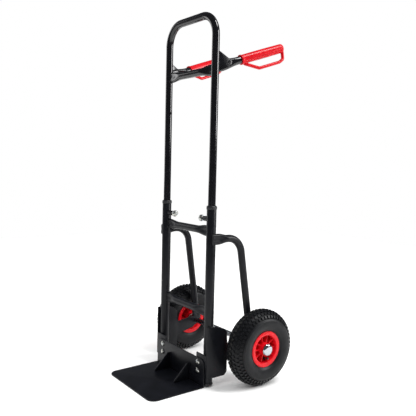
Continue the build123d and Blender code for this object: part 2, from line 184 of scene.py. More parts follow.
# Node helper ------------------------------------------------------------------
def add(tree, kind, sockets=None, **settings):
    """Add a node. Settings are its own properties; sockets maps inputs to values or to outputs."""
    node = tree.nodes.new(kind)
    for name, value in settings.items():
        setattr(node, name, value)
    for name, value in (sockets or {}).items():
        if isinstance(value, bpy.types.NodeSocket):
            tree.links.new(value, node.inputs[name])
        else:
            node.inputs[name].default_value = value
    return node


def colour(code):
    """Linear RGBA from an sRGB hex code such as '#d91a20'."""
    values = [int(code[i:i + 2], 16) / 255 for i in (1, 3, 5)]
    linear = [v / 12.92 if v <= 0.04045 else ((v + 0.055) / 1.055) ** 2.4 for v in values]
    return (*linear, 1.0)


# Materials --------------------------------------------------------------------
def per_mm(size):
    """Noise scale that gives features of about this many millimetres."""
    return 1 / (size * MM)


def material(name, surface, roughness, metallic=0.0):
    """Start a material: returns it with its tree, its shader and Object coordinates."""
    made = bpy.data.materials.new(name)
    made.use_nodes = True
    tree = made.node_tree
    shader = tree.nodes["Principled BSDF"]
    shader.inputs["Base Color"].default_value = colour(surface)
    shader.inputs["Roughness"].default_value = roughness
    shader.inputs["Metallic"].default_value = metallic
    place = add(tree, "ShaderNodeTexCoord").outputs["Object"]
    return made, tree, shader, place


def mixed(tree, factor, low, high):
    """Blend of two hex colours by a factor."""
    mix = add(tree, "ShaderNodeMix", data_type="RGBA")
    tree.links.new(factor, mix.inputs["Factor"])
    mix.inputs["A"].default_value = colour(low)
    mix.inputs["B"].default_value = colour(high)
    return mix.outputs["Result"]


def ranged(tree, value, low, high, start=0.3, stop=0.7):
    """Map a noise value to a range."""
    node = add(tree, "ShaderNodeMapRange", {
        "Value": value, "From Min": start, "From Max": stop, "To Min": low, "To Max": high})
    return node.outputs["Result"]


def bumped(tree, shader, height, depth_mm, strength=1.0):
    """Give a shader a relief of this depth in millimetres."""
    bump = add(tree, "ShaderNodeBump", {
        "Height": height, "Distance": depth_mm * MM, "Strength": strength})
    tree.links.new(bump.outputs["Normal"], shader.inputs["Normal"])


def noise(tree, place, size_mm, detail=2.0, rough=0.5):
    """Noise with features of a size in millimetres."""
    node = add(tree, "ShaderNodeTexNoise", {
        "Vector": place, "Scale": per_mm(size_mm), "Detail": detail, "Roughness": rough})
    return node.outputs["Fac"]


def gloss_enamel():
    """Black baked enamel on drawn steel tube: near-black, mirror-like, with faint clouds in its gloss."""
    made, tree, shader, place = material("gloss_black_baked_enamel", "#08080b", 0.16)
    shader.inputs["Specular IOR Level"].default_value = 0.55
    cloud = noise(tree, place, 60.0, 3.0)
    tree.links.new(ranged(tree, cloud, 0.13, 0.16), shader.inputs["Roughness"])
    tree.links.new(mixed(tree, ranged(tree, cloud, 0, 1), "#070709", "#0c0c10"), shader.inputs["Base Color"])
    return made


def satin_enamel():
    """Black powder coat: softer sheen than the enamel, with a fine pebbled skin."""
    made, tree, shader, place = material("satin_black_powder_coat", "#0d0e12", 0.36)
    shader.inputs["Specular IOR Level"].default_value = 0.2
    # Coarser than the real pebbling, so that it shows
    peel = noise(tree, place, 1.6, 2.0)
    cloud = noise(tree, place, 45.0, 3.0)
    tree.links.new(ranged(tree, cloud, 0.3, 0.42), shader.inputs["Roughness"])
    tree.links.new(mixed(tree, ranged(tree, cloud, 0, 1), "#0b0c0f", "#131419"), shader.inputs["Base Color"])
    bumped(tree, shader, peel, 0.03, 0.25)
    return made


def weld_enamel():
    """The same enamel over a weld bead, which leaves it lumpy."""
    made, tree, shader, place = material("black_enamel_over_weld", "#0c0c0f", 0.3)
    lumps = noise(tree, place, 0.9, 3.0)
    tree.links.new(ranged(tree, lumps, 0.24, 0.42), shader.inputs["Roughness"])
    bumped(tree, shader, lumps, 0.15, 0.5)
    return made


def black_nylon():
    """Moulded black nylon: semi-matt with the fine grain of an eroded mould."""
    made, tree, shader, place = material("moulded_black_nylon", "#121317", 0.45)
    # Coarser than the real grain, so that it shows
    grain = noise(tree, place, 0.7, 2.0)
    cloud = noise(tree, place, 20.0, 2.0)
    tree.links.new(ranged(tree, cloud, 0.38, 0.52), shader.inputs["Roughness"])
    tree.links.new(mixed(tree, ranged(tree, cloud, 0, 1), "#0f1013", "#191a1f"), shader.inputs["Base Color"])
    bumped(tree, shader, grain, 0.04, 0.5)
    return made


def grip_vinyl():
    """Moulded red vinyl: bright, wet-looking, with gloss that varies a little over the moulding."""
    made, tree, shader, place = material("moulded_gloss_red_vinyl", "#c20816", 0.24)
    shader.inputs["Specular IOR Level"].default_value = 0.18
    cloud = noise(tree, place, 25.0, 2.0)
    tree.links.new(mixed(tree, ranged(tree, cloud, 0, 1), "#ba0714", "#ca0b1a"), shader.inputs["Base Color"])
    tree.links.new(ranged(tree, cloud, 0.23, 0.26), shader.inputs["Roughness"])
    return made


def rim_polypropylene():
    """Injection-moulded red polypropylene: waxy sheen, flow clouds and a fine mould grain."""
    made, tree, shader, place = material("moulded_red_polypropylene", "#c20818", 0.36)
    shader.inputs["Specular IOR Level"].default_value = 0.25
    cloud = noise(tree, place, 18.0, 3.0)
    # Coarser than the real grain, so that it shows
    grain = noise(tree, place, 0.8, 2.0)
    tree.links.new(mixed(tree, ranged(tree, cloud, 0, 1), "#c80815", "#da0e1e"), shader.inputs["Base Color"])
    tree.links.new(ranged(tree, cloud, 0.3, 0.42), shader.inputs["Roughness"])
    bumped(tree, shader, grain, 0.03, 0.45)
    return made


def wheel_radius(tree, place):
    """Distance of a surface point from the axle's line, in metres."""
    parts = add(tree, "ShaderNodeSeparateXYZ", {"Vector": place})
    y = add(tree, "ShaderNodeMath", {0: parts.outputs["Y"], 1: AXLE_Y * MM}, operation="SUBTRACT")
    z = add(tree, "ShaderNodeMath", {0: parts.outputs["Z"], 1: WHEEL_R * MM}, operation="SUBTRACT")
    flat = add(tree, "ShaderNodeCombineXYZ", {"X": y.outputs[0], "Y": z.outputs[0]})
    return add(tree, "ShaderNodeVectorMath", {0: flat.outputs[0]}, operation="LENGTH").outputs["Value"]


def tyre_rubber():
    """Cured black rubber: charcoal, with a bloom, fine mould rings on the wall and dusty tread tops."""
    made, tree, shader, place = material("moulded_black_tyre_rubber", "#0d0e10", 0.5)
    shader.inputs["Specular IOR Level"].default_value = 0.2
    radius = wheel_radius(tree, place)
    bloom = noise(tree, place, 14.0, 4.0, 0.6)
    dust = noise(tree, place, 2.2, 4.0, 0.65)
    base = mixed(tree, ranged(tree, bloom, 0, 1), "#0b0c0e", "#131417")
    on_tread = ranged(tree, radius, 0.0, 1.0, (WHEEL_R - 2.0) * MM, WHEEL_R * MM)
    dusty = add(tree, "ShaderNodeMath", {0: on_tread, 1: ranged(tree, dust, 0.0, 0.55)}, operation="MULTIPLY")
    mix = add(tree, "ShaderNodeMix", {"Factor": dusty.outputs[0]}, data_type="RGBA")
    tree.links.new(base, mix.inputs["A"])
    mix.inputs["B"].default_value = colour("#383733")
    tree.links.new(mix.outputs["Result"], shader.inputs["Base Color"])
    tree.links.new(ranged(tree, dust, 0.34, 0.5), shader.inputs["Roughness"])
    rings = add(tree, "ShaderNodeMath", {0: radius, 1: 2 * math.pi / (1.4 * MM)}, operation="MULTIPLY")
    wave = add(tree, "ShaderNodeMath", {0: rings.outputs[0]}, operation="SINE")
    relief = add(tree, "ShaderNodeMath", {0: wave.outputs[0], 1: 0.12, 2: dust}, operation="MULTIPLY_ADD")
    bumped(tree, shader, relief.outputs[0], 0.09, 0.5)
    return made


def tube_rubber():
    """Butyl inner tube: matt black with a talc bloom."""
    made, tree, shader, place = material("butyl_tube_rubber", "#202022", 0.7)
    talc = noise(tree, place, 5.0, 4.0)
    tree.links.new(mixed(tree, ranged(tree, talc, 0, 1), "#1a1a1c", "#3a3a3a"), shader.inputs["Base Color"])
    bumped(tree, shader, talc, 0.05, 0.3)
    return made


def chrome():
    """Chrome-plated pressing: mirror-bright with the softest haze from polishing."""
    made, tree, shader, place = material("polished_chrome_plate", "#afb3b8", 0.06, metallic=1.0)
    haze = noise(tree, place, 5.0, 3.0)
    tree.links.new(ranged(tree, haze, 0.05, 0.12), shader.inputs["Roughness"])
    tree.links.new(mixed(tree, ranged(tree, haze, 0, 1), "#a6aab0", "#b9bcc1"), shader.inputs["Base Color"])
    bumped(tree, shader, haze, 0.01, 0.05)
    return made


def zinc_steel():
    """Zinc-plated steel with a clear passivate: grey, with pale blue and straw tints."""
    made, tree, shader, place = material("zinc_plated_steel", "#b4b8bd", 0.3, metallic=1.0)
    tint = noise(tree, place, 6.0, 3.0)
    # Coarser than the real grain, so that it shows
    grain = noise(tree, place, 1.5, 2.0)
    tree.links.new(mixed(tree, ranged(tree, tint, 0, 1), "#a9b1bb", "#c6c3b4"), shader.inputs["Base Color"])
    tree.links.new(ranged(tree, tint, 0.24, 0.38), shader.inputs["Roughness"])
    bumped(tree, shader, grain, 0.004, 0.1)
    return made


def turned_steel():
    """Drawn steel bar, turned at its ends: fine rings round the axle's line."""
    made, tree, shader, place = material("drawn_turned_steel", "#9c9fa3", 0.28, metallic=1.0)
    along = add(tree, "ShaderNodeSeparateXYZ", {"Vector": place}).outputs["X"]
    feed = add(tree, "ShaderNodeMath", {0: along, 1: 2 * math.pi / (0.6 * MM)}, operation="MULTIPLY")
    rings = add(tree, "ShaderNodeMath", {0: feed.outputs[0]}, operation="SINE")
    stain = noise(tree, place, 9.0, 4.0)
    tree.links.new(mixed(tree, ranged(tree, stain, 0, 1), "#8b8e93", "#adb0b3"), shader.inputs["Base Color"])
    tree.links.new(ranged(tree, stain, 0.22, 0.36), shader.inputs["Roughness"])
    bumped(tree, shader, rings.outputs[0], 0.01, 0.4)
    return made


def spring_steel():
    """Oil-tempered spring wire: dark bluish steel with drawing marks."""
    made, tree, shader, place = material("oil_tempered_spring_steel", "#6d7178", 0.32, metallic=1.0)
    marks = noise(tree, place, 1.2, 3.0)
    tree.links.new(mixed(tree, ranged(tree, marks, 0, 1), "#5c6068", "#80848a"), shader.inputs["Base Color"])
    tree.links.new(ranged(tree, marks, 0.26, 0.4), shader.inputs["Roughness"])
    return made


def bearing_nylon():
    """Moulded natural nylon: off-white and slightly waxy."""
    made, tree, shader, place = material("moulded_natural_nylon", "#d9d5c8", 0.42)
    cloud = noise(tree, place, 7.0, 3.0)
    tree.links.new(mixed(tree, ranged(tree, cloud, 0, 1), "#cfcabb", "#e2dfd4"), shader.inputs["Base Color"])
    tree.links.new(ranged(tree, cloud, 0.36, 0.5), shader.inputs["Roughness"])
    return made


GLOSS = gloss_enamel()
SATIN = satin_enamel()
WELD = weld_enamel()
NYLON = black_nylon()
VINYL = grip_vinyl()
POLYPROPYLENE = rim_polypropylene()
RUBBER = tyre_rubber()
BUTYL = tube_rubber()
CHROME = chrome()
ZINC = zinc_steel()
TURNED = turned_steel()
SPRING = spring_steel()
BEARING = bearing_nylon()


# Shapes: a shape is (points in mm, faces) ---------------------------------------
def merged(*shapes):
    """Several shapes as one."""
    points = []
    faces = []
    for shape_points, shape_faces in shapes:
        first = len(points)
        points += shape_points
        faces += [[first + i for i in face] for face in shape_faces]
    return points, faces


def mirrored(shape):
    """The left-hand twin of a right-hand shape."""
    points, faces = shape
    return [Vector((-p.x, p.y, p.z)) for p in points], [face[::-1] for face in faces]


def moved(shape, change):
    """Shape changed by a matrix."""
    points, faces = shape
    return [change @ p for p in points], faces


def skin(rings, closed=False):
    """Quads between rings of points. An open skin gets a flat cap at both ends."""
    count = len(rings[0])
    points = [p for ring in rings for p in ring]
    faces = []
    spans = len(rings) if closed else len(rings) - 1
    for i in range(spans):
        a = i * count
        b = ((i + 1) % len(rings)) * count
        for j in range(count):
            k = (j + 1) % count
            faces.append([a + j, a + k, b + k, b + j])
    if not closed:
        last = (len(rings) - 1) * count
        faces.append(list(range(count))[::-1])
        faces.append([last + j for j in range(count)])
    return points, faces


def rounded(points, radii, closed=False, steps=6):
    """Path whose corners are arcs. Radii are for the corners; a closed path has one for each point."""
    count = len(points)
    corners = range(count) if closed else range(1, count - 1)
    radii = list(radii) if hasattr(radii, "__len__") else [radii] * len(corners)
    path = [] if closed else [points[0]]
    for corner, radius in zip(corners, radii):
        here = points[corner]
        if radius <= 0:
            path.append(here)
            continue
        back = (points[corner - 1] - here).normalized()
        ahead = (points[(corner + 1) % count] - here).normalized()
        half = back.angle(ahead) / 2
        centre = here + (back + ahead).normalized() * (radius / math.sin(half))
        start = here + back * (radius / math.tan(half)) - centre
        stop = here + ahead * (radius / math.tan(half)) - centre
        turn = math.pi - 2 * half
        for i in range(steps + 1):
            share = i / steps * turn
            path.append(centre + (start * math.sin(turn - share) + stop * math.sin(share)) / math.sin(turn))
    return path if closed else path + [points[-1]]


def divided(path, longest):
    """Path with its long runs divided."""
    fine = [path[0]]
    for a, b in zip(path, path[1:]):
        parts = max(1, math.ceil((b - a).length / longest))
        fine += [a.lerp(b, (i + 1) / parts) for i in range(parts)]
    return fine


def tangents(path, closed=False):
    """Unit directions along a path."""
    count = len(path)
    found = []
    for i in range(count):
        before = path[(i - 1) % count] if closed or i else path[0]
        after = path[(i + 1) % count] if closed or i < count - 1 else path[-1]
        found.append((after - before).normalized())
    return found


def swept(path, across, outline):
    """Sweep along a path in one plane, whose normal is across. outline(i) gives (u, v) points."""
    rings = []
    for i, (centre, along) in enumerate(zip(path, tangents(path))):
        side = (across - along * across.dot(along)).normalized()
        up = along.cross(side)
        rings.append([centre + side * u + up * v for u, v in outline(i)])
    return skin(rings)


def circle(radius, steps=ROUND_STEPS):
    """Round section."""
    return [(radius * math.cos(t), radius * math.sin(t)) for t in angles(steps)]


def angles(steps):
    """Evenly spaced angles of a whole turn."""
    return [2 * math.pi * i / steps for i in range(steps)]


def smooth(t):
    """Ease from 0 to 1."""
    t = min(1.0, max(0.0, t))
    return t * t * (3 - 2 * t)


def crushed(amount):
    """Section of a tube crushed by an amount from 0 (round) to 1: thin, taller, with a dished middle."""
    height = INNER_R + (FLAT_HALF_HEIGHT - INNER_R) * amount
    middle = INNER_R + (FLAT_MIDDLE - INNER_R) * amount
    lobe = INNER_R + (FLAT_LOBE - INNER_R) * amount
    section = []
    for t in angles(ROUND_STEPS):
        c = math.cos(t)
        thick = middle + (lobe - middle) * 4 * c * c * (1 - c * c)
        section.append((math.sin(t) * thick, c * height))
    return section


def turned(outline, centre, axis="X", steps=96):
    """Turn a closed outline of (along, radius) points about an axis through a centre.

    Points of radius 0 come together in a pole when the mesh's doubles are merged."""
    rings = []
    for t in angles(steps):
        c = math.cos(t)
        s = math.sin(t)
        ring = []
        for along, radius in outline:
            offset = {
                "X": (along, radius * c, radius * s),
                "Y": (radius * s, along, radius * c),
                "Z": (radius * c, radius * s, along),
            }[axis]
            ring.append(centre + Vector(offset))
        rings.append(ring)
    return skin(rings, closed=True)


def outline2(points, radii, steps=4):
    """Closed outline of (along, radius) points with rounded corners."""
    path = rounded([Vector((a, b, 0)) for a, b in points], radii, closed=True, steps=steps)
    return [(p.x, p.y) for p in path]


def disc_outline(near, far, radius, edge, hole=0.0):
    """Outline of a disc or collar from near to far, its outer edges rounded."""
    return outline2([(near, hole), (far, hole), (far, radius), (near, radius)], [0, 0, edge, edge])


def plate(outline, x_from, thick):
    """Flat plate across X from an outline of (y, z) points."""
    rings = [[Vector((x, y, z)) for y, z in outline] for x in (x_from, x_from + thick)]
    return skin(rings)


# Pieces -------------------------------------------------------------------------
def new_object(name, shape, finish):
    """Mesh object from a shape in mm, with outward normals and smooth shading up to 35 degrees."""
    points, faces = shape
    mesh = bpy.data.meshes.new(name)
    mesh.from_pydata([p * MM for p in points], [], faces)
    tidy_mesh(mesh)
    mesh.materials.append(finish)
    made = bpy.data.objects.new(name, mesh)
    bpy.context.scene.collection.objects.link(made)
    return made


def tidy_mesh(mesh):
    """Merge doubles, drop what has no size, turn the normals outwards and mark sharp edges."""
    work = bmesh.new()
    work.from_mesh(mesh)
    bmesh.ops.remove_doubles(work, verts=work.verts, dist=1e-6)
    bmesh.ops.dissolve_degenerate(work, dist=1e-7, edges=work.edges)
    loose = [edge for edge in work.edges if not edge.link_faces]
    bmesh.ops.delete(work, geom=loose, context="EDGES")
    bmesh.ops.recalc_face_normals(work, faces=work.faces)
    work.to_mesh(mesh)
    work.free()
    mesh.shade_smooth()
    mesh.set_sharp_from_angle(angle=math.radians(35))


def finished(made, body, slot, *nodes):
    """Turn modifiers into plain mesh, then hand the piece to its body."""
    if made.modifiers:
        evaluated = made.evaluated_get(bpy.context.evaluated_depsgraph_get())
        mesh = bpy.data.meshes.new_from_object(evaluated)
        made.modifiers.clear()
        made.data = mesh
        tidy_mesh(mesh)
    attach(made, body)
    if nodes:
        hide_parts(*nodes)
    return made


def pair(name, shape, finish, body, slot, nodes=(), modify=None):
    """Make a right-hand piece and its twin. Body and node names take the side's name at '*'."""
    for side, twin in (("right", shape), ("left", mirrored(shape))):
        made = new_object(f"{name}_{side}", twin, finish)
        if modify:
            modify(made)
        finished(made, body.replace("*", side), slot, *[n.replace("*", side) for n in nodes])


def bevel(width, segments=3):
    """Returns a function that rounds a piece's sharp edges."""
    def modify(made):
        rounding = made.modifiers.new("rounded_edges", "BEVEL")
        rounding.width = width * MM
        rounding.segments = segments
        rounding.limit_method = "ANGLE"
        rounding.angle_limit = math.radians(40)
    return modify


# Geometry Nodes -------------------------------------------------------------------
def new_tree(name, inputs):
    """Geometry tree with named inputs. Returns it with its group input and output."""
    tree = bpy.data.node_groups.new(name, "GeometryNodeTree")
    tree.interface.new_socket("Geometry", in_out="INPUT", socket_type="NodeSocketGeometry")
    for label, kind, value in inputs:
        socket = tree.interface.new_socket(label, in_out="INPUT", socket_type=kind)
        if value is not None:
            socket.default_value = value
    tree.interface.new_socket("Geometry", in_out="OUTPUT", socket_type="NodeSocketGeometry")
    return tree, add(tree, "NodeGroupInput"), add(tree, "NodeGroupOutput")


def close_tree(tree, given, result, geometry):
    """End a tree with Realize Instances and Set Material."""
    real = add(tree, "GeometryNodeRealizeInstances", {"Geometry": geometry})
    painted = add(tree, "GeometryNodeSetMaterial", {
        "Geometry": real.outputs["Geometry"], "Material": given.outputs["Material"]})
    tree.links.new(painted.outputs["Geometry"], result.inputs["Geometry"])
    return tree


def ring_tree():
    """Copies of a shape, drawn about the origin, evenly round an X axis through Centre."""
    tree, given, result = new_tree("copies_round_axle", [
        ("Count", "NodeSocketInt", 10),
        ("Phase", "NodeSocketFloat", 0.0),
        ("Centre", "NodeSocketVector", None),
        ("Material", "NodeSocketMaterial", None),
    ])
    spots = add(tree, "GeometryNodePoints", {
        "Count": given.outputs["Count"], "Position": given.outputs["Centre"]})
    index = add(tree, "GeometryNodeInputIndex")
    count = given.outputs["Count"]
    share = add(tree, "ShaderNodeMath", {0: index.outputs[0], 1: count}, operation="DIVIDE")
    phased = add(tree, "ShaderNodeMath", {0: share.outputs[0], 1: given.outputs["Phase"]}, operation="ADD")
    turn = add(tree, "ShaderNodeMath", {0: phased.outputs[0], 1: 2 * math.pi}, operation="MULTIPLY")
    angle = add(tree, "ShaderNodeCombineXYZ", {"X": turn.outputs[0]})
    copies = add(tree, "GeometryNodeInstanceOnPoints", {
        "Points": spots.outputs[0], "Instance": given.outputs["Geometry"], "Rotation": angle.outputs[0]})
    return close_tree(tree, given, result, copies.outputs["Instances"])


def row_tree():
    """Copies of a shape at equal steps."""
    tree, given, result = new_tree("copies_in_row", [
        ("Count", "NodeSocketInt", 2),
        ("Step", "NodeSocketVector", None),
        ("Material", "NodeSocketMaterial", None),
    ])
    line = add(tree, "GeometryNodeMeshLine", {
        "Count": given.outputs["Count"], "Offset": given.outputs["Step"]})
    copies = add(tree, "GeometryNodeInstanceOnPoints", {
        "Points": line.outputs["Mesh"], "Instance": given.outputs["Geometry"]})
    return close_tree(tree, given, result, copies.outputs["Instances"])


def weld_tree():
    """Overlapping ripples of weld metal along the edges of a mesh."""
    tree, given, result = new_tree("weld_bead", [
        ("Pitch", "NodeSocketFloat", 0.0016),
        ("Radius", "NodeSocketFloat", 0.0018),
        ("Unevenness", "NodeSocketFloat", 0.15),
        ("Seed", "NodeSocketInt", 3),
        ("Material", "NodeSocketMaterial", None),
    ])
    curve = add(tree, "GeometryNodeMeshToCurve", {"Mesh": given.outputs["Geometry"]})
    even = add(tree, "GeometryNodeResampleCurve", {
        "Curve": curve.outputs[0], "Length": given.outputs["Pitch"]}, mode="LENGTH")
    ball = add(tree, "GeometryNodeMeshIcoSphere", {"Radius": given.outputs["Radius"], "Subdivisions": 2})
    least = add(tree, "ShaderNodeMath", {0: 1.0, 1: given.outputs["Unevenness"]}, operation="SUBTRACT")
    size = add(tree, "FunctionNodeRandomValue", {
        2: least.outputs[0], 3: 1.0, "Seed": given.outputs["Seed"]}, data_type="FLOAT")
    ripples = add(tree, "GeometryNodeInstanceOnPoints", {
        "Points": even.outputs[0], "Instance": ball.outputs["Mesh"], "Scale": size.outputs[1]})
    return close_tree(tree, given, result, ripples.outputs["Instances"])


def grow(made, tree, **values):
    """Put a geometry tree on an object and set its inputs by their identifiers."""
    modifier = made.modifiers.new(tree.name, "NODES")
    modifier.node_group = tree
    identifiers = {s.name: s.identifier for s in tree.interface.items_tree if s.in_out == "INPUT"}
    for name, value in values.items():
        modifier[identifiers[name]] = value
    made.update_tag()


RING = ring_tree()
ROW = row_tree()
BEAD = weld_tree()


# Fixed frame ------------------------------------------------------------------------
def tube_wall(bottom, top, radius, edge=0.5):
    """Outline of a tube's wall, with its end edges eased."""
    inner = radius - WALL
    return outline2([(bottom, inner), (bottom, radius), (top, radius), (top, inner)], edge, 2)


def at_upright():
    """Centre of the right-hand upright on the floor."""
    return Vector((UPRIGHT_X, 0, 0))


def outer_tubes():
    """Lower uprights."""
    shape = turned(tube_wall(OUTER_BOTTOM, OUTER_TOP, OUTER_R), at_upright(), "Z")
    pair("lower_upright", shape, SATIN, "frame", "black_enamel", ["outer_tube_*"])


def guide_collars():
    """Nylon rings on the mouths of the lower uprights, with a sleeve inside."""
    bore = INNER_R + FIT
    low = OUTER_TOP - SLEEVE_DEPTH
    top = OUTER_TOP + COLLAR_HEIGHT
    points = [
        (low, bore), (low, OUTER_R - WALL), (OUTER_TOP, OUTER_R - WALL),
        (OUTER_TOP, COLLAR_R), (top - 3, COLLAR_R), (top, COLLAR_R - 2.2), (top, bore),
    ]
    shape = turned(outline2(points, [0, 0, 0, 0.8, 1.5, 0.8, 0.5]), at_upright(), "Z")
    pair("guide_ring", shape, NYLON, "frame", "black_plastic", ["guide_collar_*"])


def foot_plugs():
    """Nylon caps in the lower uprights' feet."""
    points = [
        (FOOT_BOTTOM, 0), (FOOT_PLUG_TOP, 0), (FOOT_PLUG_TOP, PLUG_R),
        (OUTER_BOTTOM, PLUG_R), (OUTER_BOTTOM, COLLAR_R), (FOOT_BOTTOM, COLLAR_R),
    ]
    right = turned(outline2(points, [0, 0, 0.5, 0, 1.0, 2.0]), at_upright(), "Z")
    made = new_object("foot_caps", merged(right, mirrored(right)), NYLON)
    finished(made, "frame", "black_plastic", "foot_plugs")


def crossbar_shape(height, upright_r):
    """Tube between the uprights whose crushed ends reach into their walls."""
    end = UPRIGHT_X - upright_r + CROSSBAR_SINK
    path = divided([Vector((-end, 0, height)), Vector((end, 0, height))], 3.0)
    flat_from = UPRIGHT_X - upright_r - CROSSBAR_FLAT

    def outline(i):
        past = (abs(path[i].x) - CROSSBAR_ROUND_X) / (flat_from - CROSSBAR_ROUND_X)
        return crushed(smooth(past))

    return swept(path, Vector((0, 1, 0)), outline)


def weld_loop(upright_r, height):
    """Points round a crushed end where it meets the right-hand upright."""
    loop = []
    for u, v in crushed(1.0):
        loop.append(Vector((UPRIGHT_X - math.sqrt(upright_r ** 2 - u * u), u, height + v)))
    return loop


def weld(name, loops, body):
    """Weld beads along closed loops of points."""
    made = new_object(name, ([], []), WELD)
    mesh = bpy.data.meshes.new(name)
    points = []
    edges = []
    for loop in loops:
        first = len(points)
        points += [p * MM for p in loop]
        edges += [(first + i, first + (i + 1) % len(loop)) for i in range(len(loop))]
    mesh.from_pydata(points, edges, [])
    mesh.materials.append(WELD)
    made.data = mesh
    grow(made, BEAD, Pitch=1.5 * MM, Radius=1.7 * MM, Unevenness=0.18, Seed=3, Material=WELD)
    finished(made, body, "black_enamel")


def both_sides(loops):
    """Loops and their mirror images."""
    return loops + [[Vector((-p.x, p.y, p.z)) for p in loop] for loop in loops]


def lower_crossbars():
    """Cross tubes of the fixed frame."""
    for name, height in zip(("top", "bottom"), LOW_BARS_Z):
        made = new_object(f"fixed_crossbar_{name}", crossbar_shape(height, OUTER_R), SATIN)
        finished(made, "frame", "black_enamel", f"lower_crossbar_{name}")
    weld("fixed_crossbar_welds", both_sides([weld_loop(OUTER_R, z) for z in LOW_BARS_Z]), "frame")


def brace_lean():
    """Matrix that leans a brace, drawn in the YZ plane, out from its top to the axle."""
    lean = math.atan2(BRACE_FOOT_X - BRACE_TOP_X, BRACE_TOP_Z - WHEEL_R)
    place = Matrix.Translation((BRACE_TOP_X, 0, BRACE_TOP_Z))
    return place @ Matrix.Rotation(-lean, 4, "Y") @ Matrix.Translation((0, 0, -BRACE_TOP_Z))


def braces():
    """Bent stays, crushed at the top where they meet the uprights and at the foot."""
    corners = [
        Vector((0, -8, BRACE_TOP_Z)),
        Vector((0, BRACE_CORNER_Y, BRACE_TOP_Z)),
        Vector((0, BRACE_FOOT_Y, WHEEL_R)),
    ]
    path = divided(rounded(corners, BRACE_BEND_R, steps=16), 4.0)
    gone = [0.0]
    for a, b in zip(path, path[1:]):
        gone.append(gone[-1] + (b - a).length)
    whole = gone[-1]

    def outline(i):
        top = smooth((STAY_TOP_ROUND_AT - gone[i]) / STAY_EASE)
        foot = smooth((gone[i] - (whole - STAY_FOOT_FLAT_AT)) / STAY_EASE)
        section = crushed(max(top, foot))
        thin = 1 - STAY_FOOT_THINNING * foot
        return [(u * thin, v) for u, v in section]

    stay = moved(swept(path, Vector((1, 0, 0)), outline), brace_lean())
    eye = disc_outline(BRACE_FOOT_X - EYE_HALF, BRACE_FOOT_X + EYE_HALF, FLAT_HALF_HEIGHT, 1.2, AXLE_R)
    shape = merged(stay, turned(eye, Vector((0, AXLE_Y, WHEEL_R)), "X", 64))
    pair("bent_stay", shape, SATIN, "frame", "black_enamel", ["brace_*"])


def axle_plates():
    """Side plates with eyes for the axle, and flanges for the toe plate's bolts."""
    front = FLANGE_Y - PLATE_THICK
    points = [
        (front, 31), (55, 31), (66, 42), (66, 86), (AXLE_Y, WHEEL_R - 22),
        (AXLE_Y, WHEEL_R + 22), (66, 136), (63, 180), (54, 192), (24, 204), (front, 207),
    ]
    radii = [3, 10, 8, 14, 21.9, 21.9, 10, 8, 10, 10, 3]
    path = rounded([Vector((y, z, 0)) for y, z in points], radii, True, 5)
    web = plate([(p.x, p.y) for p in path], PLATE_X, PLATE_THICK)
    root = PLATE_X + 1
    fold = [(root, front), (root, FLANGE_Y), (PLATE_FLANGE_X, FLANGE_Y), (PLATE_FLANGE_X, front)]
    rings = [[Vector((x, y, z)) for x, y in fold] for z in PLATE_FLANGE_Z]
    shape = merged(web, skin(rings))
    pair("axle_side_plate", shape, SATIN, "frame", "black_enamel", ["axle_plate_*"], bevel(0.8))


def at_wheel(side):
    """Centre of the wheel on a side: 1 is the right, -1 the left."""
    return Vector((side * WHEEL_X, AXLE_Y, WHEEL_R))


def axle_parts():
    """Axle bar, spacers, washers and the chrome caps."""
    line = Vector((0, AXLE_Y, WHEEL_R))
    half = WHEEL_X + HUB_HALF_WIDTH + 6
    bar = turned(disc_outline(-half, half, AXLE_R, 1.0), line, "X", 64)
    finished(new_object("axle_bar", bar, TURNED), "frame", "axle_steel", "axle")
    near = BRACE_FOOT_X + EYE_HALF
    far = WHEEL_X - HUB_HALF_WIDTH - HUB_GAP
    spacer = turned(disc_outline(near, far, SPACER_R, 0.6, AXLE_R), line, "X", 64)
    made = new_object("axle_spacer_tubes", merged(spacer, mirrored(spacer)), ZINC)
    finished(made, "frame", "zinc_steel", "axle_spacers")
    near = WHEEL_X + HUB_HALF_WIDTH + HUB_GAP
    washer = turned(disc_outline(near, near + WASHER_THICK, WASHER_R, 0.4, AXLE_R), line, "X", 64)
    made = new_object("hub_washers", merged(washer, mirrored(washer)), ZINC)
    finished(made, "frame", "zinc_steel", "axle_washers")
    near += WASHER_THICK
    dome = [(near, 0), (near + CAP_HEIGHT, 0)]
    for i in range(1, 9):
        t = i / 8 * math.pi / 2
        dome.append((near + 3.2 + 6.3 * math.cos(t) ** 0.8, 19.0 * math.sin(t) ** 0.9))
    dome += [(near + 2.6, CAP_R - 0.6), (near + 1.8, CAP_R), (near, CAP_R)]
    shape = turned(dome, line, "X")
    pair("chrome_hub_cap", shape, CHROME, "frame", "chrome_cap", ["axle_cap_*"])


# Toe plate ----------------------------------------------------------------------------
def toe_plate():
    """Folded plate that the load stands on, with its edges eased."""
    back = FLANGE_Y - PLATE_THICK
    front = back - TOE_DEPTH
    half = TOE_HALF_WIDTH
    floor_points = [(-half, back), (-half, front), (half, front), (half, back)]
    path = rounded([Vector((x, y, 0)) for x, y in floor_points], [0, TOE_CORNER_R, TOE_CORNER_R, 0], True, 8)
    leaf = skin([[Vector((p.x, p.y, z)) for p in path] for z in (0, PLATE_THICK)])
    wall_points = [(-half, 0.5), (-half, TOE_FLANGE_HEIGHT), (half, TOE_FLANGE_HEIGHT), (half, 0.5)]
    radii = [0, TOE_WALL_CORNER_R, TOE_WALL_CORNER_R, 0]
    path = rounded([Vector((x, z, 0)) for x, z in wall_points], radii, True, 8)
    wall = skin([[Vector((p.x, y, p.y)) for p in path] for y in (back - PLATE_THICK, back)])
    made = new_object("folded_toe_plate", merged(leaf, wall), SATIN)
    bevel(0.9)(made)
    finished(made, "frame", "black_enamel", "toe_plate")


